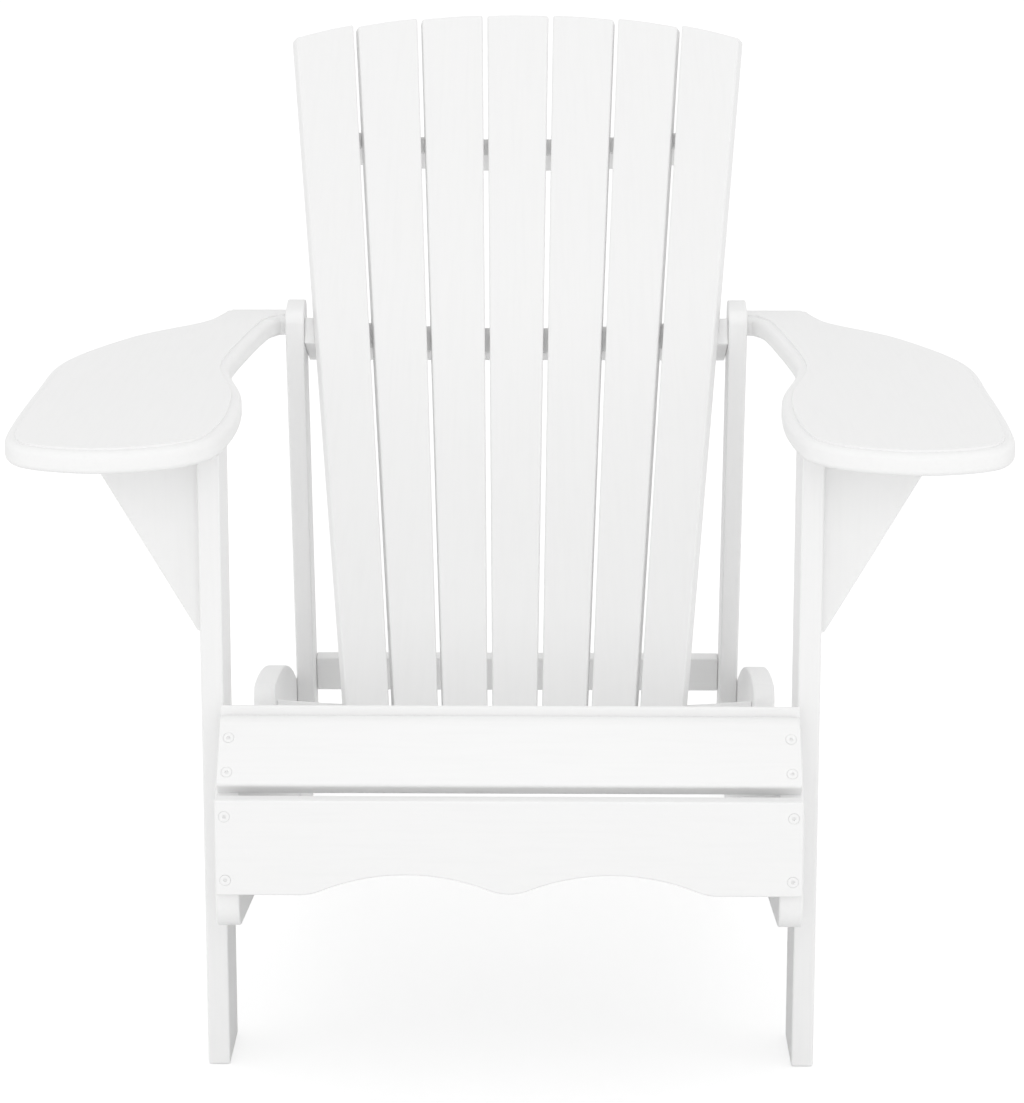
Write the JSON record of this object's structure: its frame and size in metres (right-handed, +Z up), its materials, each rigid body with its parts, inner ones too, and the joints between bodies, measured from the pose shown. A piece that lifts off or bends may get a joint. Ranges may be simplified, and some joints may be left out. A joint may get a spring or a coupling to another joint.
{
  "type": "adirondack chair",
  "caption": "Low slatted garden armchair with a reclined fan back, wide paddle arms on brackets, a sloping seat and rear legs that run on from the side rails.",
  "frame": {"origin": "on the ground, under the middle of the overall width and overall length", "axes": "+Z up; the chair faces -Y, so -Y is the front; +X is the sitter's left, across the chair"},
  "size_m": [0.83, 0.931, 0.8601],
  "materials": {
    "white_paint": "wooden boards under opaque white satin paint",
    "painted_screws": "steel screw heads under the same white paint as the boards",
    "screw_steel": "zinc-plated steel screws, bolts and nuts of the hidden joints",
    "bare_wood": "unpainted fluted dowels inside the joints"
  },
  "bodies": {
    "root": {"left_side_rail": "white_paint", "right_side_rail": "white_paint", "left_front_leg": "white_paint", "right_front_leg": "white_paint", "left_arm": "white_paint", "right_arm": "white_paint", "left_arm_bracket": "white_paint", "right_arm_bracket": "white_paint", "left_upright": "white_paint", "right_upright": "white_paint", "rear_stretcher": "white_paint", "back_slat_1": "white_paint", "back_slat_2": "white_paint", "back_slat_3": "white_paint", "back_slat_4": "white_paint", "back_slat_5": "white_paint", "back_slat_6": "white_paint", "back_slat_7": "white_paint", "top_back_rail": "white_paint", "middle_back_rail": "white_paint", "lower_back_rail": "white_paint", "apron": "white_paint", "nose_slat": "white_paint", "seat_slat_1": "white_paint", "seat_slat_2": "white_paint", "seat_slat_3": "white_paint", "seat_slat_4": "white_paint", "seat_slat_5": "white_paint", "apron_screws": "painted_screws", "nose_slat_screws": "painted_screws", "seat_slat_screws": "painted_screws", "back_slat_dowels": "bare_wood", "middle_rail_screws": "screw_steel", "lower_rail_screws": "screw_steel", "stretcher_screws": "screw_steel", "arm_dowels": "bare_wood", "arm_screws": "screw_steel", "leg_bolts": "screw_steel", "leg_bolt_nuts": "screw_steel", "upright_bolts": "screw_steel", "upright_bolt_nuts": "screw_steel"}
  },
  "joints": []
}
